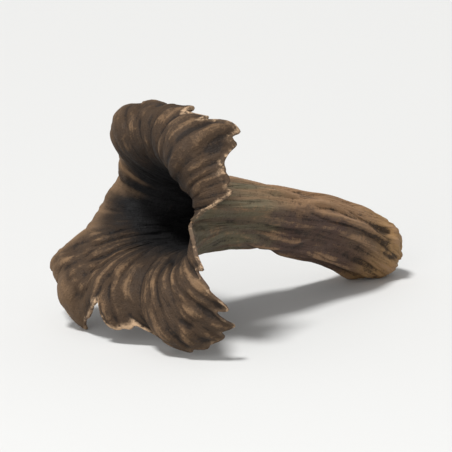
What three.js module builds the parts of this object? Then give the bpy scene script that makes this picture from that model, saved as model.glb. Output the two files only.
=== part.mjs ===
// Black trumpet mushroom, dried, lying on its side.
//
// The mushroom grew as one piece: a thin wall that starts as a closed foot, runs up a hollow
// wrinkled stem, opens into a funnel and rolls outward into a torn, ruffled lip.
//
// The middle of that wall is worked out first. A point on it has two numbers: w, the distance
// along the wall from the foot's tip, and the angle round the stem. Angle 0 is the upper side,
// 90 the near side and 180 the underside. The wall then gets its thickness both ways.
//
// Millimetres, Z up. The mouth looks along -X and the foot lies at +X. The origin is under the
// middle of the mushroom, on the surface it lies on.

import * as THREE from 'three';

const radians = THREE.MathUtils.degToRad;
const clamp = THREE.MathUtils.clamp;

// The wall from foot to lip, millimetres along the wall
const wallLength = 40.3;
const footTurn = 4.8;
const flareStart = 20;

// Slopes of the wall against the stem's axis, degrees
const stemSlope = 3;
const lipSlope = 140;

// How late the foot closes and the lip opens, as powers of the way there
const footPower = 1.6;
const flarePower = 3.6;

// Thickness at the foot, at the lip's edge and at the bottom of the deepest groove
const footThickness = 1.46;
const lipThickness = 0.76;
const leastThickness = 0.66;

// The stem's cross-section is round at the tip and oval from there on, and the oval turns
const ovalLong = 1.1;
const ovalShort = 0.88;
const ovalFrom = 6;
const ovalStart = 20;
const ovalTwist = 2.2;

// The bent axis: its rise above level and its turn to the side, degrees at foot and mouth
const axisLength = 38;
const rise = { foot: 26, mouth: 0 };
const turn = { foot: -10, mouth: 12 };

// How the finished mushroom is tipped, in degrees, so that it lies on its foot and two lobes of
// the lip, and how far the surface presses their lowest points flat, in millimetres
const layPitch = 1.5;
const layRoll = -3.6;
const pressDepth = 0.24;

// Grid: columns round the wall, rows from foot to lip, and steps between two rows
const columns = 76;
const footRows = 5;
const stemRows = 11;
const lipRows = 19;
const steps = 8;

// Broad lobes of the lip: the angle each is centred on, how narrow it is, millimetres added
const lobes = [
  { at: 345, narrow: 4, by: 0.5 },
  { at: 146, narrow: 7, by: 3.0 },
  { at: 222, narrow: 9, by: 5.0 },
  { at: 84, narrow: 7, by: -7.0 },
  { at: 288, narrow: 5, by: -6.0 },
];

// Tears in the edge, as deep as each "by" says
const tears = [
  { at: 172, narrow: 120, by: -2.6 },
  { at: 194, narrow: 90, by: -3.2 },
  { at: 247, narrow: 160, by: -1.8 },
  { at: 16, narrow: 160, by: -2.2 },
  { at: 104, narrow: 220, by: -1.4 },
  { at: 334, narrow: 240, by: -1.4 },
  { at: 143, narrow: 260, by: -1.2 },
  { at: 300, narrow: 200, by: -1.2 },
];

// Where the lip rolls further out or less, degrees added to lipSlope
const rolls = [
  { at: 350, narrow: 4, by: 75 },
  { at: 30, narrow: 8, by: 40 },
  { at: 88, narrow: 14, by: -115 },
  { at: 140, narrow: 6, by: 55 },
  { at: 275, narrow: 5, by: 60 },
  { at: 220, narrow: 9, by: -10 },
];

// Turn of all the folds and grooves together round the stem, degrees per millimetre
const foldTwist = 2;

// Lengthwise folds of the whole wall: depth in millimetres, drift in degrees per millimetre
const folds = [
  { at: 306, narrow: 11, depth: 0.85, drift: 1.2 },
  { at: 35, narrow: 12, depth: 0.8, drift: 0.2 },
  { at: 125, narrow: 11, depth: 0.85, drift: 1.2 },
  { at: 215, narrow: 12, depth: 0.75, drift: 0.4 },
];

// Narrower grooves in the outer face only: depth as a share of what the wall can spare there
const grooves = [
  { at: 262, narrow: 30, depth: 1.1, drift: 1.8 },
  { at: 338, narrow: 40, depth: 1.1, drift: 0.6 },
  { at: 4, narrow: 60, depth: 0.8, drift: -0.3 },
  { at: 46, narrow: 60, depth: 0.9, drift: 0.7 },
  { at: 80, narrow: 34, depth: 1.1, drift: -0.4 },
  { at: 112, narrow: 60, depth: 0.8, drift: 0.9 },
  { at: 150, narrow: 36, depth: 1.1, drift: 0.2 },
  { at: 186, narrow: 60, depth: 0.9, drift: 0.7 },
  { at: 222, narrow: 40, depth: 1.0, drift: -0.2 },
  { at: 304, narrow: 60, depth: 0.8, drift: -0.9 },
];

// Pinches that draw the funnel in between its lobes: deepest at w, fading over a span
const pinches = [
  { at: 182, narrow: 12, depth: 1.8, w: 36, span: 6 },
  { at: 72, narrow: 9, depth: 1.4, w: 34, span: 6 },
  { at: 292, narrow: 9, depth: 0.7, w: 36, span: 6 },
  { at: 20, narrow: 16, depth: 1.1, w: 37, span: 5 },
];
const pinchDrift = 0.8;

// A smooth step from 0 to 1 between two values
function between(value, from, to) {
  return THREE.MathUtils.smoothstep(value, from, to);
}

// A bump of height 1 round an angle in degrees, narrower as "narrow" grows
function bump(angle, at, narrow) {
  return Math.exp(narrow * (Math.cos(angle - radians(at)) - 1));
}

function sumOf(list, angle) {
  return list.reduce((sum, item) => sum + item.by * bump(angle, item.at, item.narrow), 0);
}

// Distance along the wall to the edge, without its tears
function lobeReach(angle) {
  return wallLength + sumOf(lobes, angle);
}

// Distance along the wall to the torn and frayed edge
function edgeReach(angle) {
  const fray = 0.45 * Math.sin(11 * angle + 0.7) + 0.35 * Math.sin(17 * angle + 2.1);
  return lobeReach(angle) + sumOf(tears, angle) + fray;
}

// Slope of the wall against the axis, in radians: square at the foot's tip, nearly straight
// along the stem, then opening ever faster until the lip has rolled outward
function wallSlope(w, angle) {
  const tip = 1 - clamp(w / footTurn, 0, 1);
  const waves = 15 * Math.sin(5 * angle + 1.1) + 6 * Math.sin(9 * angle + 0.2);
  const lip = radians(lipSlope + sumOf(rolls, angle) + waves);
  const opened = clamp((w - flareStart) / (lobeReach(angle) - flareStart), 0, 1.15);
  const foot = Math.PI / 2 * tip ** footPower + radians(stemSlope) * (1 - tip);
  return foot + lip * opened ** flarePower;
}

// Depth of lengthwise folds or grooves, which drift round the stem and fade in and out
function lengthwise(list, w, angle) {
  return list.reduce((sum, fold) => {
    const swing = 0.75 + 0.25 * Math.sin(0.33 * w + fold.at);
    return sum + fold.depth * swing * bump(angle, fold.at + (fold.drift - foldTwist) * w, fold.narrow);
  }, 0);
}

// How far the wall stands out from its smooth form, along its own outward side: ruffles that
// grow towards the edge, folds along the stem and pinches of the funnel
function relief(w, angle) {
  const lip = between(w, 27, 46);
  const stem = between(w, 3, 18) * (1 - 0.8 * between(w, 28, 42));
  const wander = angle + 0.13 * Math.sin(2 * angle + 0.11 * w) + 0.06 * Math.sin(5 * angle - 0.2 * w);
  let out = 0.7 * Math.sin(4 * wander + 0.9 + 0.03 * w);
  out += 0.6 * Math.sin(7 * wander + 2.2 - 0.05 * w);
  out += 0.36 * Math.sin(12 * wander + 0.3 + 0.1 * w);
  out *= lip ** 1.4;
  out += 0.14 * stem * Math.sin(0.5 * w + 2 * angle);
  out -= stem * lengthwise(folds, w, angle);
  for (const pinch of pinches) {
    const fade = Math.exp(-(((w - pinch.w) / pinch.span) ** 2));
    out -= pinch.depth * fade * bump(angle, pinch.at + pinchDrift * (w - pinch.w), pinch.narrow);
  }
  return out * between(w, 0, 3);
}

// Thickness of the wall, before the grooves
function thickness(w) {
  return THREE.MathUtils.lerp(footThickness, lipThickness, between(w, 0, wallLength));
}

// Depth of the grooves in the outer face, which end where the lip begins
function grooveDepth(w, angle) {
  const share = Math.min(1, lengthwise(grooves, w, angle));
  return share * (thickness(w) - leastThickness) * between(w, 2, 9) * (1 - between(w, 20, 32));
}

// Direction of the bent axis at a distance along it
function axisDirection(distance) {
  const part = distance / axisLength;
  const up = radians(THREE.MathUtils.lerp(rise.foot, rise.mouth, part));
  const side = radians(THREE.MathUtils.lerp(turn.foot, turn.mouth, part));
  return new THREE.Vector3(-Math.cos(up) * Math.cos(side), Math.cos(up) * Math.sin(side), Math.sin(up));
}

// Points along the bent axis, added up in short steps
const axisStep = 0.1;
const axisBefore = 6;
const axisPoints = [new THREE.Vector3()];
for (let distance = -axisBefore; distance < axisLength + axisBefore; distance += axisStep) {
  const step = axisDirection(distance + axisStep / 2).multiplyScalar(axisStep);
  axisPoints.push(axisPoints.at(-1).clone().add(step));
}

function axisPoint(distance) {
  const place = clamp((distance + axisBefore) / axisStep, 0, axisPoints.length - 1.001);
  const index = Math.floor(place);
  return axisPoints[index].clone().lerp(axisPoints[index + 1], place - index);
}

// One point of the wall's middle from its place along the axis, its distance from it and its
// angle round it
function placed(along, out, w, angle) {
  const tilt = radians(ovalStart + ovalTwist * w);
  const oval = between(w, 0, ovalFrom);
  const long = THREE.MathUtils.lerp(1, ovalLong, oval) * out * Math.cos(angle - tilt);
  const short = THREE.MathUtils.lerp(1, ovalShort, oval) * out * Math.sin(angle - tilt);
  const up = long * Math.cos(tilt) - short * Math.sin(tilt);
  const near = long * Math.sin(tilt) + short * Math.cos(tilt);
  const ahead = axisDirection(along);
  const nearSide = new THREE.Vector3(0, 0, 1).cross(ahead).normalize();
  const upSide = ahead.clone().cross(nearSide);
  return axisPoint(along).addScaledVector(upSide, up).addScaledVector(nearSide, near);
}

// Rows are closer together at the foot and on the lip, where the wall turns most. Each row is
// a share of the way from the foot's tip to the edge
function rowShares() {
  const footShare = footTurn / wallLength;
  const flareShare = 0.56;
  const shares = [0];
  for (let row = 1; row <= footRows; row++) shares.push(footShare * row / footRows);
  for (let row = 1; row <= stemRows; row++) {
    shares.push(THREE.MathUtils.lerp(footShare, flareShare, row / stemRows));
  }
  for (let row = 1; row <= lipRows; row++) {
    shares.push(THREE.MathUtils.lerp(flareShare, 1, row / lipRows));
  }
  return shares;
}

// One column of the wall's middle, from the foot's tip to the edge
function column(angle, shares) {
  const edge = edgeReach(angle);
  const points = [];
  let along = 0;
  let out = 0;
  shares.forEach((share, row) => {
    const w = share * edge;
    if (row > 0) {
      const start = shares[row - 1] * edge;
      const step = (w - start) / steps;
      for (let k = 0; k < steps; k++) {
        const slope = wallSlope(start + (k + 0.5) * step, angle);
        along += Math.cos(slope) * step;
        out += Math.sin(slope) * step;
      }
    }
    const slope = wallSlope(w, angle);
    const raised = relief(w, angle);
    points.push(placed(along - Math.sin(slope) * raised, out + Math.cos(slope) * raised, w, angle));
  });
  return points;
}

// The wall's middle as an open sheet: the foot's tip, then a ring of points for each row
const shares = rowShares();
const rings = shares.length - 1;
const sheetPoints = [];
const lengthAt = [0];
const grooveAt = [0];
const angles = Array.from({ length: columns }, (_, j) => 2 * Math.PI * j / columns);
const wallColumns = angles.map((angle) => column(angle, shares));
sheetPoints.push(wallColumns[0][0]);
for (let row = 1; row <= rings; row++) {
  wallColumns.forEach((points, j) => {
    const w = shares[row] * edgeReach(angles[j]);
    sheetPoints.push(points[row]);
    lengthAt.push(w);
    grooveAt.push(grooveDepth(w, angles[j]));
  });
}

// Number of a point in the sheet, counting round the ring
function at(row, j) {
  return 1 + (row - 1) * columns + j % columns;
}

// Triangles of the sheet, facing out of the mushroom
const sheetFaces = [];
for (let j = 0; j < columns; j++) sheetFaces.push(0, at(1, j), at(1, j + 1));
for (let row = 1; row < rings; row++) {
  for (let j = 0; j < columns; j++) {
    sheetFaces.push(at(row, j), at(row + 1, j), at(row + 1, j + 1));
    sheetFaces.push(at(row, j), at(row + 1, j + 1), at(row, j + 1));
  }
}

// The sheet laid down on its foot and two lobes of the lip
const sheet = new THREE.BufferGeometry().setFromPoints(sheetPoints);
sheet.setIndex(sheetFaces);
sheet.rotateX(radians(layRoll));
sheet.rotateY(radians(layPitch));
sheet.computeVertexNormals();

// The wall: outer points, inner points and one ring that rounds the edge between them
const outer = [];
const inner = [];
const middles = sheet.getAttribute('position');
const normals = sheet.getAttribute('normal');
for (let i = 0; i < middles.count; i++) {
  const middle = new THREE.Vector3().fromBufferAttribute(middles, i);
  const normal = new THREE.Vector3().fromBufferAttribute(normals, i);
  const half = thickness(lengthAt[i]) / 2;
  outer.push(middle.clone().addScaledVector(normal, half - grooveAt[i]));
  inner.push(middle.clone().addScaledVector(normal, -half));
}
const rim = [];
for (let j = 0; j < columns; j++) {
  const edge = new THREE.Vector3().fromBufferAttribute(middles, at(rings, j));
  const before = new THREE.Vector3().fromBufferAttribute(middles, at(rings - 1, j));
  const onward = edge.clone().sub(before).normalize();
  rim.push(edge.addScaledVector(onward, 0.45 * lipThickness));
}

// What the mushroom rests on presses it flat: the wall moves up there, both faces alike
const lowest = Math.min(...outer.map((point) => point.z), ...inner.map((point) => point.z));
const ground = lowest + pressDepth;
function settle(points) {
  const lift = Math.max(0, ground - Math.min(...points.map((point) => point.z)));
  points.forEach((point) => { point.z += lift - ground; });
}
outer.forEach((point, i) => settle([point, inner[i]]));
rim.forEach((point) => settle([point]));

// The closed wall, its inner face wound the other way with the same diagonals
const wallPoints = [...outer, ...inner, ...rim];
const innerFirst = outer.length;
const rimFirst = innerFirst + inner.length;
const wallFaces = [...sheetFaces];
for (let i = 0; i < sheetFaces.length; i += 3) {
  wallFaces.push(innerFirst + sheetFaces[i], innerFirst + sheetFaces[i + 2], innerFirst + sheetFaces[i + 1]);
}
for (let j = 0; j < columns; j++) {
  const here = rimFirst + j;
  const next = rimFirst + (j + 1) % columns;
  wallFaces.push(at(rings, j), here, next);
  wallFaces.push(at(rings, j), next, at(rings, j + 1));
  wallFaces.push(innerFirst + at(rings, j), next, here);
  wallFaces.push(innerFirst + at(rings, j), innerFirst + at(rings, j + 1), next);
}
const fruitBody = new THREE.BufferGeometry().setFromPoints(wallPoints);
fruitBody.setIndex(wallFaces);

// Origin under the middle of the mushroom
fruitBody.computeBoundingBox();
const middle = fruitBody.boundingBox.getCenter(new THREE.Vector3());
fruitBody.translate(-middle.x, -middle.y, 0);
fruitBody.computeVertexNormals();

const driedFlesh = new THREE.MeshStandardMaterial({ color: 0x5b4a3b, roughness: 0.85, metalness: 0 });
const mushroom = new THREE.Mesh(fruitBody, driedFlesh);
mushroom.name = 'dried_fruit_body';

const part = new THREE.Group();
part.add(mushroom);

export default part;
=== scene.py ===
import math

import bpy
import numpy as np
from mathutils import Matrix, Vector


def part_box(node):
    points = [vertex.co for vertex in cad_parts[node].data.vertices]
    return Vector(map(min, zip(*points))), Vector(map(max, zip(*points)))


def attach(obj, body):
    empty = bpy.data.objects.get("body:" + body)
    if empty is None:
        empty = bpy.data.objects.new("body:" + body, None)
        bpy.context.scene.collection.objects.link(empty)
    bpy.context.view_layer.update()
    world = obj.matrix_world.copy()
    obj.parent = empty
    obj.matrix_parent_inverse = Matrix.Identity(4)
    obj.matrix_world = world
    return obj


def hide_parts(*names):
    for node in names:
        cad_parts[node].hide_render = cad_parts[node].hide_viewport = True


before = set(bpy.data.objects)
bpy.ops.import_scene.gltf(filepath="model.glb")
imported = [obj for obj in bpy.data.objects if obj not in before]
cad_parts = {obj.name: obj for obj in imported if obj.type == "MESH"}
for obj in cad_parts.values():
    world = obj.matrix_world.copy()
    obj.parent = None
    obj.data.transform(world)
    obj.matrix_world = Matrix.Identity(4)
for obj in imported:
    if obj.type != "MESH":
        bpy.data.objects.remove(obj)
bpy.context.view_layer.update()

mm = 0.001
degree = math.pi / 180

# The dried trumpet: one thin wall from a closed foot, up a hollow stem, out to a rolled lip.
# w is the distance along the wall from the foot's tip. Angles go round the stem: 0 is the upper
# side, 90 the near side, 180 the underside. Lengths are millimetres, angles degrees.
trumpet = dict(
    node="dried_fruit_body",

    # the wall: where its foot closes and its funnel opens, its slopes and its thickness
    wallLength=40.3, footTurn=4.8, footPower=1.6, flareStart=20, flareMost=1.15, flarePower=3.6,
    stemSlope=3, lipSlope=140,
    footThickness=1.46, lipThickness=0.76, leastThickness=0.66, leastLeft=0.35,
    edgeTaper=0.5, edgeTaperOver=2.5,

    # its oval section, its bent axis, and how the mushroom lies
    ovalLong=1.1, ovalShort=0.88, ovalFrom=6, ovalStart=20, ovalTwist=2.2,
    axisLength=38, axisBefore=6, axisStep=0.1, riseFoot=26, riseMouth=0, turnFoot=-10, turnMouth=12,
    layPitch=1.5, layRoll=-3.6, pressDepth=0.24,

    # grid: columns round the wall, rows from foot to lip, steps between two rows
    columns=360, footRows=12, stemRows=48, lipRows=92, flareShare=0.56, steps=3, rimRows=4,
    innerSkip=3,                    # inside the narrow stem only every third row is kept

    # lobes, tears and nicks of the edge: angle, narrowness, length added to the wall
    lobes=[(345, 4, 0.5), (146, 7, 3.0), (222, 9, 5.0), (84, 7, -7.0), (288, 5, -6.0)],
    tears=[(172, 120, -2.6), (194, 90, -3.2), (247, 160, -1.8), (16, 160, -2.2),
           (104, 220, -1.4), (334, 240, -1.4), (143, 260, -1.2), (300, 200, -1.2)],
    nicks=[(6, 900, -0.7), (29, 800, -0.9), (41, 1400, -0.9), (63, 900, -0.6), (88, 1600, -1.0),
           (113, 900, -1.1), (119, 1200, -0.7), (127, 700, -1.6), (135, 1100, -1.1), (150, 600, -1.4),
           (157, 1500, -0.9), (164, 900, -1.2), (190, 1300, -0.7), (204, 800, -1.0), (214, 1500, -0.8),
           (233, 1000, -0.6), (262, 1500, -0.9), (301, 1200, -0.8), (318, 1600, -0.8), (346, 1300, -0.9)],

    # where the lip rolls further out or less: angle, narrowness, degrees added to lipSlope
    rolls=[(350, 4, 75), (30, 8, 40), (88, 14, -115), (140, 6, 55), (275, 5, 60), (220, 9, -10)],

    # folds of the whole wall, and grooves and furrows of its outer face: angle, narrowness,
    # depth, drift in degrees per millimetre. A groove's depth is a share of the spare wall. All
    # turn with foldTwist and swell along the wall in waves of foldWaves radians per millimetre
    folds=[(306, 11, 0.85, 1.2), (35, 12, 0.8, 0.2), (125, 11, 0.85, 1.2), (215, 12, 0.75, 0.4)],
    grooves=[(262, 30, 1.1, 1.8), (338, 40, 1.1, 0.6), (4, 60, 0.8, -0.3), (46, 60, 0.9, 0.7),
             (80, 34, 1.1, -0.4), (112, 60, 0.8, 0.9), (150, 36, 1.1, 0.2), (186, 60, 0.9, 0.7),
             (222, 40, 1.0, -0.2), (304, 60, 0.8, -0.9)],
    furrows=[(28, 110, 0.70, 1.2), (48, 170, 0.50, 1.5), (68, 110, 0.90, 1.7), (94, 140, 0.65, 1.4),
             (116, 120, 0.60, 1.8), (142, 90, 0.70, 1.5), (186, 110, 0.60, 1.4), (222, 90, 0.75, 1.7),
             (268, 110, 0.60, 1.3), (318, 100, 0.70, 1.6)],
    foldTwist=2, foldSwell=0.25, foldWaves=0.33,

    # pinches of the funnel: angle, narrowness, depth, where each is deepest, how far it reaches
    pinches=[(182, 12, 1.8, 36, 6), (72, 9, 1.4, 34, 6), (292, 9, 0.7, 36, 6), (20, 16, 1.1, 37, 5)],
    pinchDrift=0.8,

    # waves round the stem: height, number of waves, phase, drift per millimetre, both in
    # radians. Those of the slope are degrees high, and wander bends the ruffles in radians
    frayWaves=[(0.45, 11, 0.7, 0), (0.35, 17, 2.1, 0)],
    slopeWaves=[(15, 5, 1.1, 0), (6, 9, 0.2, 0)],
    ruffles=[(0.7, 4, 0.9, 0.03), (0.6, 7, 2.2, -0.05), (0.36, 12, 0.3, 0.1)],
    wander=[(0.13, 2, 0, 0.11), (0.06, 5, 0, -0.2)],
    swells=[(0.14, 2, 0, 0.5)],

    # stretches of the wall: starts, is full, begins to fade, is gone
    foldStretch=(3, 18, 28, 42), grooveStretch=(2, 9, 20, 32), furrowStretch=(1.5, 7, 21, 30),
    foldFade=0.8,
    # and where something begins and is full
    tipEase=(0, 3), tipDetail=(0, 2.0), edgeDetail=(-0.3, 0.8), footLumpy=(2.5, 8), footCreased=(1.5, 6),
    ruffled=(27, 46), ruffledPower=1.4, crinkled=(26, 40), outerLip=(22, 33), innerLip=(30, 38),

    # layers of noise: height, size across the wall, size along it, seed. Those of a bend or a
    # stray are radians high, and outerTwist is radians per millimetre
    edgeCrumbs=[(0.3, 0.5, 1, 11), (0.17, 0.2, 1, 12)],
    crinkles=[(0.26, 0.8, 2.6, 41), (0.156, 0.42, 1.7, 42)],
    grooveStray=[(0.07, 2.0, 5, 51)], grooveUneven=[(0.38, 1.2, 3.5, 52)],
    furrowStray=[(0.14, 2.5, 9, 53)], furrowUneven=[(0.25, 2.0, 6, 54)],
    outerBend=[(0.10, 2.6, 5, 21)], outerTwist=0.03,
    stemCreases=[(0.40, 1.4, 12, 22), (0.25, 0.7, 7, 23)], footCreaseLoss=0.4,
    lipCreases=[(0.14, 0.8, 6, 26), (0.08, 0.34, 3, 27)],
    outerCrumple=[(0.19, 1.5, 4.0, 24)],
    fineCrumple=[(0.08, 0.5, 2.0, 28)], fineShift=[(0.8, 1.1, 2.5, 38)],
    innerBend=[(0.10, 1.5, 4, 31)],
    innerCreases=[(0.21, 0.75, 6, 32), (0.07, 0.34, 3.2, 33)], innerLipCreases=[(0.12, 0.34, 3.2, 33)],
    innerScales=[(0.07, 0.24, 0.8, 35)], innerGrains=[(0.03, 0.14, 0.5, 36)],
    innerCrumple=[(0.13, 0.9, 2.0, 34), (0.06, 0.4, 0.9, 37)],
    # lumps, crumbs and grains of the foot: height, size, seed
    footLumps=[(0.30, 1.7, 29), (0.16, 0.75, 25), (0.09, 0.36, 30)],

    # ridges for the colours, where highlights are painted on ridges and shade in hollows: how many
    # cells the wall is smoothed over, usual height of a ridge
    swellRidge=(9, 0.5), outerRidge=(12, 0.14), innerRidge=(4, 0.08), ridgeMost=2,
    fibreRadius=8,                  # the fibres' pattern is laid on a round stem of this radius
)

# How noise is made: random values on a lattice, the factors that mix a corner's three numbers
# into one, its shift from the axis, and the distance from the axis at which its sizes are true
noiseWay = dict(values=4096, mixing=(73856093, 19349663, 83492791), shift=40, stemRadius=4.0)
creaseSharpness = 3.2               # how steeply the noise closes a crease
tiny = 1e-12                        # keeps a length from being zero


# Smooth step from 0 to 1 between two values: x * x * (3 - 2 * x) of the share of the way
def between(value, low, high):
    x = np.clip((value - low) / (high - low), 0, 1)
    return x * x * (3 - 2 * x)


# Smooth step up over the first two values, and down by the fall over the last two
def stretch(w, limits, fall=1.0):
    start, full, fading, gone = limits
    return between(w, start, full) * (1 - fall * between(w, fading, gone))


# A bump of height 1 round one angle: exp(narrow * (cos(angle - centre) - 1))
def bump(angle, centre, narrow):
    return np.exp(narrow * (np.cos(angle - centre * degree) - 1))


# Sum of bumps, each with its own height
def sumOf(bumps, angle):
    return sum(height * bump(angle, centre, narrow) for centre, narrow, height in bumps)


# Sum of waves round the stem: height * sin(number * angle + phase + drift * w)
def wavesOf(waves, w, angle):
    return sum(height * np.sin(number * angle + phase + drift * w)
               for height, number, phase, drift in waves)


# Vectors divided by their lengths
def unit(vectors):
    return vectors / np.maximum(np.linalg.norm(vectors, axis=-1, keepdims=True), tiny)


# Noise between -1 and 1: a random value on each corner of a unit lattice, blended smoothly
def softNoise(x, y, z, seed):
    table = np.random.default_rng(seed).uniform(-1, 1, noiseWay["values"])
    cells = [np.floor(value).astype(np.int64) for value in (x, y, z)]
    parts = [value - cell for value, cell in zip((x, y, z), cells)]
    parts = [part * part * (3 - 2 * part) for part in parts]
    total = 0
    for corner in np.ndindex(2, 2, 2):
        mixed, weight = 0, 1
        for cell, part, factor, far in zip(cells, parts, noiseWay["mixing"], corner):
            mixed = mixed ^ (cell + far) * factor
            weight = weight * (part if far else 1 - part)
        total = total + table[mixed % noiseWay["values"]] * weight
    return total


# Noise laid round the stem without a seam, on cos(angle), sin(angle) and w over their sizes
def wallNoise(w, angle, across, along, seed):
    turns, shift = noiseWay["stemRadius"] / across, noiseWay["shift"]
    return softNoise(turns * np.cos(angle) + shift, turns * np.sin(angle) + shift, w / along + shift, seed)


# Creases between rounded ridges: 1 - sharpness * |noise|, which is sharp where the noise is 0
def creases(w, angle, across, along, seed):
    return np.maximum(0, 1 - creaseSharpness * np.abs(wallNoise(w, angle, across, along, seed)))


# Sum of layers of noise or creases, each times its height
def layersOf(kind, layers, w, angle):
    return sum(height * kind(w, angle, across, along, seed) for height, across, along, seed in layers)


# An uneven share, 1 at most, that noise lowers: 1 - height * (1 - noise)
def unevenShare(layers, w, angle):
    return 1 - sum(layer[0] for layer in layers) + layersOf(wallNoise, layers, w, angle)


# Distance along the wall to the lip without its tears: its mean length plus broad lobes
def lobeReach(p, angle):
    return p["wallLength"] + sumOf(p["lobes"], angle)


# Distance along the wall to the real edge: the lobes, less each tear and nick, plus a frayed line
def edgeReach(p, angle):
    fray = wavesOf(p["frayWaves"], 0, angle) + layersOf(wallNoise, p["edgeCrumbs"], 0 * angle, angle)
    return lobeReach(p, angle) + sumOf(p["tears"], angle) + sumOf(p["nicks"], angle) + fray


# Slope of the wall against the axis: square at the tip, nearly straight along the stem, then a
# power of the way from the flare to the lip
def wallSlope(p, w, angle):
    tip = 1 - np.clip(w / p["footTurn"], 0, 1)
    foot = math.pi / 2 * tip ** p["footPower"] + p["stemSlope"] * degree * (1 - tip)
    lip = p["lipSlope"] + sumOf(p["rolls"], angle) + wavesOf(p["slopeWaves"], w, angle)
    opened = (w - p["flareStart"]) / (lobeReach(p, angle) - p["flareStart"])
    return foot + lip * degree * np.clip(opened, 0, p["flareMost"]) ** p["flarePower"]


# Depth of lengthwise folds: bumps round the stem that drift along it and swell in slow waves
def lengthwise(p, folds, w, angle):
    total = 0
    for centre, narrow, depth, drift in folds:
        swell = 1 - p["foldSwell"] + p["foldSwell"] * np.sin(p["foldWaves"] * w + centre)
        turned = angle - (drift - p["foldTwist"]) * w * degree
        total = total + depth * swell * bump(turned, centre, narrow)
    return total


# How far the whole wall stands out: ruffles of the lip that grow towards its edge, slow swells
# of the stem and a crinkle of the thin border, less the folds and the pinches
def wallRelief(p, w, angle):
    stem = stretch(w, p["foldStretch"], p["foldFade"])
    ruffles = wavesOf(p["ruffles"], w, angle + wavesOf(p["wander"], w, angle))
    out = ruffles * between(w, *p["ruffled"]) ** p["ruffledPower"]
    out = out + stem * (wavesOf(p["swells"], w, angle) - lengthwise(p, p["folds"], w, angle))
    for centre, narrow, depth, deepest, reach in p["pinches"]:
        fade = np.exp(-((w - deepest) / reach) ** 2)
        out = out - depth * fade * bump(angle - p["pinchDrift"] * (w - deepest) * degree, centre, narrow)
    out = out + between(w, *p["crinkled"]) * layersOf(wallNoise, p["crinkles"], w, angle)
    return out * between(w, *p["tipEase"])


# Thickness of the wall: a smooth step from the foot's to the lip's
def thickness(p, w):
    return p["footThickness"] + (p["lipThickness"] - p["footThickness"]) * between(w, 0, p["wallLength"])


# Half the thickness, tapered over the last stretch before the edge
def halfThickness(p, w, fromEdge):
    taper = p["edgeTaper"] * (1 - between(fromEdge, 0, p["edgeTaperOver"]))
    return thickness(p, w) / 2 * (1 - taper)


# Depth of the grooves: an uneven share of what the wall can spare
def grooveDepth(p, w, angle):
    astray = angle + layersOf(wallNoise, p["grooveStray"], w, angle)
    share = np.minimum(1, lengthwise(p, p["grooves"], w, astray))
    share = share * unevenShare(p["grooveUneven"], w, angle)
    return share * (thickness(p, w) - p["leastThickness"]) * stretch(w, p["grooveStretch"])


# Depth of the furrows, sharper and deeper than the grooves, from the foot to the funnel
def furrowDepth(p, w, angle):
    astray = angle + layersOf(wallNoise, p["furrowStray"], w, angle)
    depth = lengthwise(p, p["furrows"], w, astray) * unevenShare(p["furrowUneven"], w, angle)
    return depth * stretch(w, p["furrowStretch"])


# Direction of the bent axis: its rise and its turn go evenly from foot to mouth
def axisDirection(p, distance):
    part = distance / p["axisLength"]
    up = (p["riseFoot"] + (p["riseMouth"] - p["riseFoot"]) * part) * degree
    side = (p["turnFoot"] + (p["turnMouth"] - p["turnFoot"]) * part) * degree
    return np.stack([-np.cos(up) * np.cos(side), np.cos(up) * np.sin(side), np.sin(up)], axis=-1)


# Point on the bent axis: its direction added up in short steps
def axisPoint(p, distance):
    step = p["axisStep"]
    stations = np.arange(-p["axisBefore"], p["axisLength"] + p["axisBefore"], step)
    places = np.cumsum(axisDirection(p, stations + step / 2) * step, axis=0)
    return np.stack([np.interp(distance, stations + step, places[:, k]) for k in range(3)], axis=-1)


# Shares of the wall's length where the rows lie, closer at the foot and on the lip
def rowShares(p):
    footShare = p["footTurn"] / p["wallLength"]
    foot = np.linspace(0, footShare, p["footRows"] + 1)
    stem = np.linspace(footShare, p["flareShare"], p["stemRows"] + 1)
    lip = np.linspace(p["flareShare"], 1, p["lipRows"] + 1)
    return np.concatenate([foot, stem[1:], lip[1:]])


# Place along the axis and distance from it: the slope's cosine and sine, added up along each
# column in short steps between the rows
def wallProfile(p, shares, angle, edge):
    rows = np.arange((len(shares) - 1) * p["steps"] + 1) / p["steps"]
    stops = np.interp(rows, np.arange(len(shares)), shares)[:, None] * edge
    slope = wallSlope(p, (stops[1:] + stops[:-1]) / 2, angle)
    step = np.diff(stops, axis=0)
    sums = [np.cumsum(part * step, axis=0) for part in (np.cos(slope), np.sin(slope))]
    return [np.concatenate([0 * edge[None, :], total])[::p["steps"]] for total in sums]


# Oval section round the bent axis: the distance from it is stretched by ovalLong along one
# turned direction and squeezed by ovalShort along the other
def ovalSection(p, along, out, w, angle):
    tilt = (p["ovalStart"] + p["ovalTwist"] * w) * degree
    oval = between(w, 0, p["ovalFrom"])
    long = (1 + (p["ovalLong"] - 1) * oval) * out * np.cos(angle - tilt)
    short = (1 + (p["ovalShort"] - 1) * oval) * out * np.sin(angle - tilt)
    up = long * np.cos(tilt) - short * np.sin(tilt)
    near = long * np.sin(tilt) + short * np.cos(tilt)
    ahead = axisDirection(p, along)
    nearSide = unit(np.cross([0.0, 0.0, 1.0], ahead))
    upSide = np.cross(ahead, nearSide)
    return axisPoint(p, along) + up[..., None] * upSide + near[..., None] * nearSide


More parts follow.
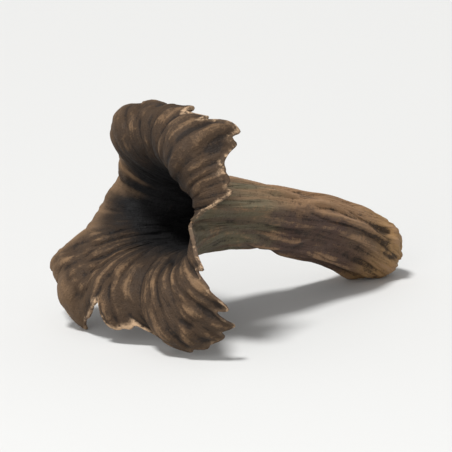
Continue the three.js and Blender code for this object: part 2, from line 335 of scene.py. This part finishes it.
# The wall's middle on a grid of rows and columns: the profile, moved out square to its slope by
# the relief and carried round the axis
def wallMiddle(p):
    shares = rowShares(p)
    columnAngles = np.linspace(0, 2 * math.pi, p["columns"], endpoint=False)
    edge = edgeReach(p, columnAngles)
    along, out = wallProfile(p, shares, columnAngles, edge)
    w = shares[:, None] * edge
    angle = columnAngles + 0 * w
    slope = wallSlope(p, w, angle)
    raised = wallRelief(p, w, angle)
    along = along - np.sin(slope) * raised
    out = out + np.cos(slope) * raised
    return ovalSection(p, along, out, w, angle), w, angle, edge - w, raised


# Unit normals of a grid that closes round: the cross product of its two differences, with the
# first ring's mean at the foot's tip, all turned outward
def gridNormals(points):
    across = np.roll(points, -1, axis=1) - np.roll(points, 1, axis=1)
    normals = unit(np.cross(np.gradient(points, axis=0), across))
    normals[0] = unit(normals[1].mean(axis=0))
    stemRow = len(points) // 3
    outward = points[stemRow] - points[stemRow].mean(axis=0)
    return normals if (normals[stemRow] * outward).sum() > 0 else -normals


# Fine relief of the outer face: long creases between rounded ridges on the stem, closer ones
# where the funnel widens, and a crumple
def outerDetail(p, w, angle):
    lip = between(w, *p["outerLip"])
    foot = 1 - between(w, *p["footCreased"])
    bend = angle + layersOf(wallNoise, p["outerBend"], w, angle) + p["outerTwist"] * w
    stemLines = layersOf(creases, p["stemCreases"], w, bend) * (1 - lip) * (1 - p["footCreaseLoss"] * foot)
    lipLines = layersOf(creases, p["lipCreases"], w, bend) * lip
    shifted = w + layersOf(wallNoise, p["fineShift"], w, angle)
    crumple = layersOf(wallNoise, p["outerCrumple"], w, angle)
    crumple = crumple + layersOf(wallNoise, p["fineCrumple"], shifted, bend)
    return crumple - stemLines - lipLines


# Fine relief of the inner face: creases that run out to the edge and fork, scales between them
def innerDetail(p, w, angle):
    lip = between(w, *p["innerLip"])
    bend = angle + layersOf(wallNoise, p["innerBend"], w, angle)
    lines = layersOf(creases, p["innerCreases"], w, bend)
    lines = lines + layersOf(creases, p["innerLipCreases"], w, bend) * lip
    scales = np.abs(layersOf(wallNoise, p["innerScales"], w, bend))
    scales = scales + layersOf(wallNoise, p["innerGrains"], w, angle)
    return layersOf(wallNoise, p["innerCrumple"], w, angle) + scales * lip - lines


# Lumps and crumbs of the foot: noise on the place itself, so that they also cover its end
def footRelief(p, w, points):
    total = 0
    for height, size, seed in p["footLumps"]:
        total = total + height * softNoise(*np.moveaxis(points / size + noiseWay["shift"], -1, 0), seed)
    return total * (1 - between(w, *p["footLumpy"]))


# How far each face stands out from the plain wall. What cuts into the outer face levels off, as
# spare * tanh(depth / spare), so that some wall is left
def faceReliefs(p, w, angle, fromEdge, middle, half):
    fade = between(w, *p["tipDetail"]) * between(fromEdge, *p["edgeDetail"])
    outer = outerDetail(p, w, angle) * fade + footRelief(p, w, middle)
    outer = outer - grooveDepth(p, w, angle) - furrowDepth(p, w, angle)
    spare = 2 * half - p["leastLeft"]
    outer = np.where(outer < 0, spare * np.tanh(outer / spare), outer)
    return outer, innerDetail(p, w, angle) * fade


# Turn about X by the roll, then about Y by the pitch
def laidDown(p, points):
    roll, pitch = p["layRoll"] * degree, p["layPitch"] * degree
    x, y, z = np.moveaxis(points, -1, 0)
    y, z = y * math.cos(roll) - z * math.sin(roll), y * math.sin(roll) + z * math.cos(roll)
    x, z = x * math.cos(pitch) + z * math.sin(pitch), z * math.cos(pitch) - x * math.sin(pitch)
    return np.stack([x, y, z], axis=-1)


# Half round rim: half the thickness times (normal * cos(turn) + onward * sin(turn))
def rimRings(middle, normals, half, turns):
    onward = unit(middle[-1] - middle[-2])
    turned = normals[-1] * np.cos(turns)[:, None, None] + onward * np.sin(turns)[:, None, None]
    return middle[-1] + half[-1][:, None] * turned


# The ground is pressDepth above the lowest point. What lies lower is pressed up to it, and then
# the ground is put at zero
def settle(p, faces):
    ground = min(face[..., 2].min() for face in faces[:2]) + p["pressDepth"]
    for face in faces:
        face[..., 2] = np.maximum(face[..., 2], ground) - ground


# Mean over a square of grid neighbours, reach cells each way, closed round the columns
def blurred(grid, reach):
    total = sum(np.roll(grid, shift, axis=1) for shift in range(-reach, reach + 1)) / (2 * reach + 1)
    padded = np.concatenate([total[:1]] * reach + [total] + [total[-1:]] * reach)
    return sum(padded[k:k + len(grid)] for k in range(2 * reach + 1)) / (2 * reach + 1)


# Ridges and hollows: a height less its blurred self, as a share of a usual ridge
def ridges(height, reach, usual):
    return (height - blurred(height, reach)) / usual


# The whole wall in one row of points: the outer foot's tip, the outer rings out to the edge, the
# rim, the kept inner rings back from the edge, and the inner foot's tip
def strung(outerGrid, rimGrid, innerGrid, kept):
    shape = (-1,) + outerGrid.shape[2:]
    tips = [grid[0].mean(axis=0)[None] for grid in (outerGrid, innerGrid)]
    rings = [grid.reshape(shape) for grid in (outerGrid[1:], rimGrid, innerGrid[kept])]
    return np.concatenate([tips[0], *rings, tips[1]])


# Faces of the closed wall: its rings are one long tube, with a fan of triangles at each end
def wallFaces(rings, columns):
    j = np.arange(columns)
    after = (j + 1) % columns
    first = 1 + np.arange(rings - 1)[:, None] * columns
    quads = np.stack([first + j, first + columns + j, first + columns + after, first + after], axis=-1)
    last = 1 + (rings - 1) * columns
    startFan = np.stack([0 * j, 1 + j, 1 + after], axis=-1)
    endFan = np.stack([last + j, 0 * j + last + columns, last + after], axis=-1)
    return quads.reshape(-1, 4).tolist() + startFan.tolist() + endFan.tolist()


# The whole mushroom: the middle moved out and in by half its thickness and its fine relief, with
# a half round rim, and what the material reads at each point
def buildTrumpet(p):
    middle, w, angle, fromEdge, raised = wallMiddle(p)
    middle = laidDown(p, middle)
    normals = gridNormals(middle)
    half = halfThickness(p, w, fromEdge)
    outerFine, innerFine = faceReliefs(p, w, angle, fromEdge, middle, half)
    outer = middle + normals * (half + outerFine)[..., None]
    inner = middle - normals * (half + innerFine)[..., None]
    turns = math.pi * np.arange(1, p["rimRows"] + 1) / (p["rimRows"] + 1)
    rim = rimRings(middle, normals, half, turns)
    settle(p, (outer, inner, rim))

    flareRow = p["footRows"] + p["stemRows"]
    kept = np.concatenate([np.arange(1, flareRow, p["innerSkip"]), np.arange(flareRow, len(w))])[::-1]
    # ridges and hollows of the broad and fine relief, for the painted highlights on ridges and painted
    # shade in creases
    swell = ridges(raised, *p["swellRidge"])
    outerRidge = ridges(outerFine, *p["outerRidge"]) + swell
    innerRidge = ridges(innerFine, *p["innerRidge"]) - swell
    rimZero = np.zeros((p["rimRows"], p["columns"]))
    around = p["fibreRadius"] * np.stack([np.cos(angle), np.sin(angle)], axis=-1)
    wall = np.concatenate([around, w[..., None]], axis=-1)
    values = dict(
        inside=strung(0 * w, rimZero + turns[:, None] / math.pi, 0 * w + 1, kept),
        fromEdge=strung(fromEdge, rimZero, fromEdge, kept),
        ridge=np.clip(strung(outerRidge, rimZero, innerRidge, kept), -p["ridgeMost"], p["ridgeMost"]),
        wall=strung(wall, rimZero[..., None] + wall[-1], wall, kept),
    )
    faces = wallFaces(len(w) - 1 + p["rimRows"] + len(kept), p["columns"])
    return strung(outer, rim, inner, kept) * mm, faces, values


# Shrink and move points so that they fill the same box as the solid and stay inside it
def fitInside(points, low, high):
    margin = 1e-6
    ownLow, ownHigh = points.min(axis=0), points.max(axis=0)
    scale = np.minimum(1, (high - low - 2 * margin) / (ownHigh - ownLow))
    moved = (points - (ownLow + ownHigh) / 2) * scale + (low + high) / 2
    moved[:, 2] += low[2] + margin - moved[:, 2].min()
    return moved


# One number or one vector for each point of the mesh, for the material to read
def addAttribute(mesh, name, numbers):
    kind, field = ("FLOAT", "value") if numbers.ndim == 1 else ("FLOAT_VECTOR", "vector")
    attribute = mesh.attributes.new(name, kind, "POINT")
    attribute.data.foreach_set(field, numbers.astype(np.float32).ravel())


# The mushroom's object, fitted to its solid, at the origin
def addTrumpet(p):
    points, faces, values = buildTrumpet(p)
    low, high = (np.array(corner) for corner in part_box(p["node"]))
    points = fitInside(points, low, high)
    mesh = bpy.data.meshes.new("driedTrumpet")
    mesh.from_pydata(points.tolist(), [], faces)
    mesh.polygons.foreach_set("use_smooth", np.ones(len(faces), dtype=bool))
    for name, numbers in values.items():
        addAttribute(mesh, name, numbers)
    mesh.update()
    piece = bpy.data.objects.new("driedTrumpet", mesh)
    bpy.context.scene.collection.objects.link(piece)
    return piece


# Dried flesh, colours as linear red, green and blue
flesh = dict(
    # outside: brown; pale where worn and where highlights are painted on ridges, dark where shade is
    # painted in creases and in darker spots
    outside=(0.130, 0.084, 0.053), outsidePale=(0.320, 0.195, 0.108), outsideDark=(0.024, 0.017, 0.013),
    # tan painted light along the stem's upper side; purple brown for darker mottles and for painted shade
    # on the underside
    upper=(0.305, 0.182, 0.098), underside=(0.088, 0.053, 0.041), greyGreen=(0.135, 0.118, 0.074),
    # ochre of the foot, and a pale painted highlight along the thin edge
    foot=(0.375, 0.225, 0.100), edge=(0.46, 0.31, 0.19),
    # inside: brown; pale where worn and where highlights are painted on ridges and on the far lip; dark
    # where shade is painted in creases, and the dark specks
    inside=(0.052, 0.032, 0.019), insidePale=(0.222, 0.136, 0.074), insideDark=(0.014, 0.010, 0.008),
    # painted shade down the throat, darker than the inside's own brown
    throatShade=(0.0038, 0.0035, 0.0038),
    roughness=(0.3, 0.7, 0.60, 0.90),   # limits of the patches' noise, then how rough it is there
    specular=0.20, bump=0.90, bumpDepth=0.16,
    bumpBy=dict(grain=0.6, hair=1.2),   # added to the specks' own bumps

    # noises: size in millimetres, detail. Fibres: width and length in millimetres
    broad=(6.0, 3.0), patch=(1.8, 4.0), speck=(0.5, 3.0), grain=(0.14, 2.0), noiseRoughness=0.6,
    noiseTurn=(0.6, 0.4, 0.9),      # radians, so that the lattice lies along no side of the stem
    streak=(1.3, 9.0), hair=(0.3, 2.6), fibreDetail=3.0, fibreDistortion=0.5,
    # what makes a place look worn and lit, and by how much: the ridges give painted highlights on
    # ridges and painted shade in creases, the noises give wear
    paintedLightByRidge=0.55, wornBy=dict(streak=1.7, patch=1.5, hair=1.5, grain=1.2, speck=1.8),

    # where a colour begins and is full, and its least and most share if they aren't 0 and 1
    # darker mottles, and where the painted light of the upper side ends along the wall
    mottled=(0.38, 0.62), upperAlong=(31, 22), greyEnds=(37, 31), greyStreaks=(0.62, 0.42, 0.35, 1.0),
    # paler ridges, where wear and painted highlights lie, and darker creases, where shade is painted,
    # outside and inside
    outsideWornAndLit=(0.15, 1.1, 0, 0.75), outsideCreased=(-0.20, -1.15, 0, 0.85),
    insideWornAndLit=(0.15, 1.5, 0, 0.8), insideCreased=(-0.15, -1.0, 0, 0.85),
    # the far side, where a highlight is painted on the inner lip's border; dark specks
    farLipHighlight=(-2.0, -6.5, 0, 0.7), specks=(0.62, 0.72, 0, 0.45),
    # the same, after how far a noise pushes it to and fro
    # across the stem: the painted light of the upper side and the painted shade of the underside
    upperAcross=(8.0, 0.0, 4.5, 0, 0.9), underShadeAcross=(9.0, -1.0, -6.0, 0, 0.8),
    greyBegins=(8.0, 19, 25), greyNear=(14.0, 0.5, 5.5, 0, 0.9), footAlong=(9.0, 9.5, 3.0, 0, 0.9),
    # the far lip's painted highlight from the edge, and the throat's painted shade along the wall and from
    # the edge
    farLipHighlightBorder=(4.0, 5.0, 1.5), throatShadeAlong=(3.0, 37.5, 31), throatShadeFromEdge=(2.0, 1.0, 4.5),
    # the painted highlight along the edge, and how it is broken up
    edgeHighlight=(1.4, 0.45, 0.0), edgeHighlightBroken=(0.9, 0.42, 0.60, 0.10, 1.0),
)


# A node with its settings, its inputs set to numbers or linked to other nodes' outputs
def addNode(tree, kind, inputs, **settings):
    node = tree.nodes.new(kind)
    for name, setting in settings.items():
        setattr(node, name, setting)
    for name, value in inputs.items():
        if isinstance(value, bpy.types.NodeSocket):
            tree.links.new(value, node.inputs[name])
        else:
            node.inputs[name].default_value = value
    return node


# What the mesh says at a point, by the attribute's name
def reading(tree, name, output="Fac"):
    return addNode(tree, "ShaderNodeAttribute", {}, attribute_name=name).outputs[output]


# Smooth share of the way of a value between two limits
def ramp(value, low, high, least=0.0, most=1.0):
    inputs = {"Value": value, "From Min": low, "From Max": high, "To Min": least, "To Max": most}
    node = addNode(value.id_data, "ShaderNodeMapRange", inputs, interpolation_type="SMOOTHSTEP")
    return node.outputs["Result"]


# a and b added, subtracted or multiplied, where a is a socket
def maths(operation, a, b):
    return addNode(a.id_data, "ShaderNodeMath", {0: a, 1: b}, operation=operation).outputs[0]


# Shares multiplied together
def product(first, *others):
    for other in others:
        first = maths("MULTIPLY", first, other)
    return first


# One colour turning into another, each a socket or red, green and blue
def mix(share, a, b):
    a, b = (colour if isinstance(colour, bpy.types.NodeSocket) else (*colour, 1) for colour in (a, b))
    return addNode(share.id_data, "ShaderNodeMix", {0: share, 6: a, 7: b}, data_type="RGBA").outputs[2]


# How far a noise lies from its middle, times a weight
def swing(noise, weight):
    return maths("MULTIPLY", maths("SUBTRACT", noise, 0.5), weight)


# A ramp on a value that a noise pushes to and fro
def strayRamp(value, noise, weight, *limits):
    return ramp(maths("ADD", value, swing(noise, weight)), *limits)


# Noise of a size in millimetres on the object's own coordinates
def surfaceNoise(p, source, size, detail):
    inputs = {"Vector": source, "Scale": 1 / (size * mm)}
    inputs.update({"Detail": detail, "Roughness": p["noiseRoughness"]})
    return addNode(source.id_data, "ShaderNodeTexNoise", inputs).outputs["Fac"]


# Fibres that follow the wall from foot to edge, long and narrow
def fibres(p, wall, width, length):
    scale = (1 / width, 1 / width, 1 / length)
    narrowed = addNode(wall.id_data, "ShaderNodeMapping", {"Vector": wall, "Scale": scale}).outputs[0]
    inputs = {"Vector": narrowed, "Scale": 1.0}
    inputs.update({"Detail": p["fibreDetail"], "Distortion": p["fibreDistortion"]})
    return addNode(wall.id_data, "ShaderNodeTexNoise", inputs).outputs["Fac"]


# What the colours go by: the side of the stem, the places along the wall and from its edge, the
# ridges, the noises, and how worn and lit a place looks, about -1 to 1: wear from the noises, with
# painted highlights on ridges and painted shade in creases from the ridges
def surfaceFields(tree, p):
    place = addNode(tree, "ShaderNodeTexCoord", {}).outputs["Object"]
    turned = addNode(tree, "ShaderNodeMapping", {"Vector": place, "Rotation": p["noiseTurn"]}).outputs[0]
    wall = reading(tree, "wall", "Vector")
    upSide, nearSide, along = addNode(tree, "ShaderNodeSeparateXYZ", {"Vector": wall}).outputs
    field = dict(upSide=upSide, nearSide=nearSide, along=along)
    for name in ("inside", "fromEdge", "ridge"):
        field[name] = reading(tree, name)
    field["broad"] = surfaceNoise(p, place, *p["broad"])
    for name in ("patch", "speck", "grain"):
        field[name] = surfaceNoise(p, turned, *p[name])
    for name in ("streak", "hair"):
        field[name] = fibres(p, wall, *p[name])
    # painted light from the ridges, highlights on ridges and shade in creases, then wear from the noises
    wearAndPaintedLight = maths("MULTIPLY", field["ridge"], p["paintedLightByRidge"])
    for name, weight in p["wornBy"].items():
        wearAndPaintedLight = maths("ADD", wearAndPaintedLight, swing(field[name], weight))
    return dict(field, wearAndPaintedLight=wearAndPaintedLight)


# Brown with darker mottles, tan painted light along the upper side and purple brown painted shade
# below, grey green on the near side of the funnel and ochre at the foot, paler on ridges and dark in
# creases: wear, with painted highlights on ridges and painted shade in creases
def outsideColour(p, field):
    broad, patch, along = field["broad"], field["patch"], field["along"]
    colour = mix(ramp(broad, *p["mottled"]), p["underside"], p["outside"])
    # painted light along the upper side
    upper = strayRamp(field["upSide"], patch, *p["upperAcross"])
    colour = mix(product(upper, ramp(along, *p["upperAlong"])), colour, p["upper"])
    # painted shade on the underside
    colour = mix(strayRamp(field["upSide"], patch, *p["underShadeAcross"]), colour, p["underside"])
    greyAlong = product(strayRamp(along, patch, *p["greyBegins"]), ramp(along, *p["greyEnds"]))
    greyNear = strayRamp(field["nearSide"], broad, *p["greyNear"])
    grey = product(greyAlong, greyNear, ramp(field["streak"], *p["greyStreaks"]))
    colour = mix(grey, colour, p["greyGreen"])
    colour = mix(strayRamp(along, broad, *p["footAlong"]), colour, p["foot"])
    # paler where worn and where a highlight is painted on ridges, darker where shade is painted in creases
    colour = mix(ramp(field["wearAndPaintedLight"], *p["outsideWornAndLit"]), colour, p["outsidePale"])
    return mix(ramp(field["wearAndPaintedLight"], *p["outsideCreased"]), colour, p["outsideDark"])


# Brown on the lip with painted shade, near black, down the throat; paler on ridges and dark in
# creases: wear, with painted highlights on ridges and painted shade in creases; and a painted
# highlight on the far lip's border
def insideColour(p, field):
    patch, fromEdge = field["patch"], field["fromEdge"]
    # paler where worn and where a highlight is painted on ridges, darker where shade is painted in creases
    colour = mix(ramp(field["wearAndPaintedLight"], *p["insideWornAndLit"]), p["inside"], p["insidePale"])
    colour = mix(ramp(field["wearAndPaintedLight"], *p["insideCreased"]), colour, p["insideDark"])
    # painted highlight on the border of the far lip
    border = product(ramp(field["nearSide"], *p["farLipHighlight"]), strayRamp(fromEdge, patch, *p["farLipHighlightBorder"]))
    colour = mix(border, colour, p["insidePale"])
    # painted shade, near black, down the throat
    throatShade = strayRamp(field["along"], patch, *p["throatShadeAlong"])
    return mix(product(throatShade, strayRamp(fromEdge, patch, *p["throatShadeFromEdge"])), colour, p["throatShade"])


# Both faces, with a painted highlight along the thin edge that is broken up, and dark specks
def fleshColour(p, field):
    colour = mix(field["inside"], outsideColour(p, field), insideColour(p, field))
    # painted highlight along the thin edge, broken up
    border = strayRamp(field["fromEdge"], field["patch"], *p["edgeHighlight"])
    border = product(border, strayRamp(field["broad"], field["speck"], *p["edgeHighlightBroken"]))
    colour = mix(border, colour, p["edge"])
    return mix(ramp(field["speck"], *p["specks"]), colour, p["insideDark"])


# The finish: the flesh's colour, a roughness that varies in patches, and fine bumps
def addMaterial(p):
    material = bpy.data.materials.new("driedFlesh")
    material.use_nodes = True
    tree = material.node_tree
    tree.nodes.clear()
    field = surfaceFields(tree, p)
    height = field["speck"]
    for name, weight in p["bumpBy"].items():
        height = maths("ADD", height, maths("MULTIPLY", field[name], weight))
    relief = {"Strength": p["bump"], "Distance": p["bumpDepth"] * mm, "Height": height}
    shader = addNode(tree, "ShaderNodeBsdfPrincipled", {
        "Base Color": fleshColour(p, field),
        "Roughness": ramp(field["patch"], *p["roughness"]),
        "Specular IOR Level": p["specular"],
        "Normal": addNode(tree, "ShaderNodeBump", relief).outputs[0],
    })
    addNode(tree, "ShaderNodeOutputMaterial", {"Surface": shader.outputs[0]})
    return material


print("building the dried trumpet")
piece = addTrumpet(trumpet)
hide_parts(trumpet["node"])
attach(piece, "root")

print("colouring its flesh")
piece.data.materials.append(addMaterial(flesh))

# Pale floor, white surroundings, a soft sun from high on the mouth's side and a weak lower fill
studio = dict(
    floorSize=3.0, floorColour=(0.62, 0.62, 0.61), floorRoughness=0.7,
    skyColour=(1.0, 1.0, 1.0), skyStrength=0.42,
    sunFrom=(-0.45, -0.05, 1.0), sunStrength=3.4, sunAngle=12,
    fillPlace=(-0.24, -0.10, 0.10), fillSize=0.16, fillPower=0.25,
    azimuth=-46, elevation=14, distance=0.34, lens=300, aim=(-0.0018, 0.0019, 0.0076),
)


def addFloor(p):
    half = p["floorSize"] / 2
    corners = [(-half, -half, 0), (half, -half, 0), (half, half, 0), (-half, half, 0)]
    mesh = bpy.data.meshes.new("floor")
    mesh.from_pydata(corners, [], [(0, 1, 2, 3)])
    floor = bpy.data.objects.new("floor", mesh)
    bpy.context.scene.collection.objects.link(floor)
    material = bpy.data.materials.new("paleFloor")
    material.use_nodes = True
    shader = material.node_tree.nodes["Principled BSDF"]
    shader.inputs["Base Color"].default_value = (*p["floorColour"], 1)
    shader.inputs["Roughness"].default_value = p["floorRoughness"]
    mesh.materials.append(material)


# A light at a place, turned to look at its target
def addLamp(name, kind, place, target):
    light = bpy.data.lights.new(name, kind)
    lamp = bpy.data.objects.new(name, light)
    lamp.location = place
    lamp.rotation_euler = (Vector(target) - Vector(place)).to_track_quat("-Z", "Y").to_euler()
    bpy.context.scene.collection.objects.link(lamp)
    return light


def addLights(p):
    sun = addLamp("softSun", "SUN", p["sunFrom"], (0, 0, 0))
    sun.energy = p["sunStrength"]
    sun.angle = p["sunAngle"] * degree
    fill = addLamp("fillLight", "AREA", p["fillPlace"], p["aim"])
    fill.size = p["fillSize"]
    fill.energy = p["fillPower"]
    world = bpy.data.worlds.new("studioSky")
    world.use_nodes = True
    sky = world.node_tree.nodes["Background"]
    sky.inputs["Color"].default_value = (*p["skyColour"], 1)
    sky.inputs["Strength"].default_value = p["skyStrength"]
    bpy.context.scene.world = world


# The camera stands back from its aim: azimuth 0 is the near side, and it goes round towards +X
def addCamera(p):
    azimuth, elevation = p["azimuth"] * degree, p["elevation"] * degree
    level = math.cos(elevation)
    back = Vector((math.sin(azimuth) * level, -math.cos(azimuth) * level, math.sin(elevation)))
    camera = bpy.data.objects.new("camera", bpy.data.cameras.new("camera"))
    camera.data.lens = p["lens"]
    camera.location = Vector(p["aim"]) + back * p["distance"]
    camera.rotation_euler = (-back).to_track_quat("-Z", "Y").to_euler()
    bpy.context.scene.collection.objects.link(camera)
    bpy.context.scene.camera = camera


print("adding floor, lights and camera")
addFloor(studio)
addLights(studio)
addCamera(studio)
bpy.context.scene.view_settings.view_transform = "Standard"
